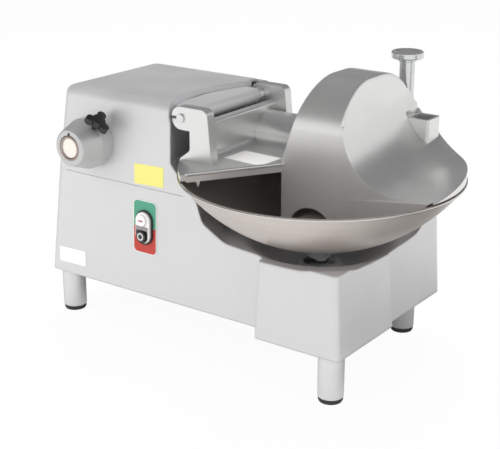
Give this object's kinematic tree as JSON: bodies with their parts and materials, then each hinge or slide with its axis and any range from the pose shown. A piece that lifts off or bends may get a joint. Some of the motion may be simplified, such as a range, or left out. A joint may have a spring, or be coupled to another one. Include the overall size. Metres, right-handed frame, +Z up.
{
  "type": "food cutter",
  "caption": "Bench bowl cutter: cast drive body on four legs, turning stainless bowl, hinged knife cover, attachment hub and two-button switch.",
  "frame": {"origin": "on the floor, under the middle of the overall box", "axes": "+X towards the bowl end, +Y to the back, +Z up"},
  "size_m": [0.7256, 0.4572, 0.4831],
  "materials": {
    "cast_body": "satin cast and burnished",
    "polished_cover": "polished casting",
    "hub_metal": "satin turned",
    "leg_metal": "satin turned tube",
    "stainless": "spun and brushed",
    "steel": "ground",
    "steel_sheet": "galvanised",
    "chrome": "polished",
    "cast_iron": "painted",
    "rubber": "moulded",
    "plastic_black": "moulded",
    "plastic_white": "moulded",
    "switch_label": "printed sheet",
    "lens": "moulded"
  },
  "bodies": {
    "body": {"housing": "cast_body", "base_cover": "steel_sheet", "foot_pads": "rubber", "base_screws": "steel", "shaft_tube": "cast_body", "tube_screws": "steel", "shaft_bearing_rear": "steel", "shaft_bearing_front": "steel", "shaft_seal": "rubber", "pto_hub": "hub_metal", "hub_plug": "plastic_white", "pto_gearbox": "cast_iron", "switch_plate": "switch_label", "switch_bezel": "plastic_white", "switch_lens": "lens", "contact_block": "plastic_black", "motor": "cast_iron", "motor_cradle": "steel_sheet", "knife_belt": "rubber", "bowl_belt": "rubber", "bowl_gearbox": "cast_iron", "cord_gland": "plastic_black", "leg_front_left": "leg_metal", "leg_back_left": "leg_metal", "leg_front_right": "leg_metal", "leg_back_right": "leg_metal"},
    "bowl": {"bowl": "stainless", "bowl_hub": "cast_body", "bowl_spindle": "steel", "spindle_slinger": "steel"},
    "knife_rotor": {"knife_shaft": "steel", "knife_hub": "steel", "knife_inner": "stainless", "knife_outer": "stainless", "knife_nut": "stainless", "knife_pulley": "cast_iron"},
    "motor_rotor": {"motor_shaft": "steel", "motor_pulley": "cast_iron"},
    "worm_rotor": {"worm_shaft": "steel", "worm_pulley": "cast_iron"},
    "pto_rotor": {"pto_shaft": "steel"},
    "cover": {"bowl_cover": "polished_cover", "cover_bracket": "polished_cover", "scraper_post": "chrome", "scraper_blade": "plastic_white", "hinge_pin": "steel", "hinge_collar": "chrome"},
    "post_knob": {"scraper_knob": "chrome"},
    "hub_screw": {"hub_thumbscrew": "plastic_black"},
    "start": {"start_button": "plastic_white"},
    "stop": {"stop_button": "plastic_black"}
  },
  "joints": [
    {"name": "motor_spin", "type": "hinge", "parent": "body", "child": "motor_rotor", "pos_m": [-0.2748, -0.02, 0.202], "axis": [1, 0, 0], "continuous": true},
    {"name": "knife_spin", "type": "hinge", "parent": "body", "child": "knife_rotor", "pos_m": [0.1342, 0.092, 0.34], "axis": [1, 0, 0], "continuous": true},
    {"name": "worm_spin", "type": "hinge", "parent": "body", "child": "worm_rotor", "pos_m": [-0.2958, 0.06, 0.134], "axis": [1, 0, 0], "continuous": true},
    {"name": "bowl_spin", "type": "hinge", "parent": "body", "child": "bowl", "pos_m": [0.1342, 0, 0.175], "axis": [0, 0, 1], "continuous": true},
    {"name": "pto_spin", "type": "hinge", "parent": "body", "child": "pto_rotor", "pos_m": [-0.2518, -0.168, 0.33], "axis": [0, 1, 0], "continuous": true},
    {"name": "cover_hinge", "type": "hinge", "parent": "body", "child": "cover", "pos_m": [-0.0688, 0, 0.394], "axis": [0, -1, 0], "range_deg": [0, 90]},
    {"name": "post_knob_turn", "type": "hinge", "parent": "cover", "child": "post_knob", "pos_m": [0.1722, 0.198, 0.466], "axis": [0, 0, 1], "continuous": true},
    {"name": "hub_screw_turn", "type": "hinge", "parent": "body", "child": "hub_screw", "pos_m": [-0.2518, -0.136, 0.33], "axis": [0.6428, 0, 0.766], "continuous": true},
    {"name": "start_press", "type": "slide", "parent": "body", "child": "start", "axis": [0, 0.9991, -0.0425], "range_m": [0, 0.003], "stiffness_N_per_m": 600},
    {"name": "stop_press", "type": "slide", "parent": "body", "child": "stop", "axis": [0, 0.9991, -0.0425], "range_m": [0, 0.003], "stiffness_N_per_m": 600}
  ],
  "couplings": [
    {"joint": "knife_spin", "follows": "motor_spin", "ratio": 0.8095},
    {"joint": "worm_spin", "follows": "motor_spin", "ratio": 1.3077},
    {"joint": "bowl_spin", "follows": "motor_spin", "ratio": 0.03269},
    {"joint": "pto_spin", "follows": "motor_spin", "ratio": 0.13492}
  ]
}
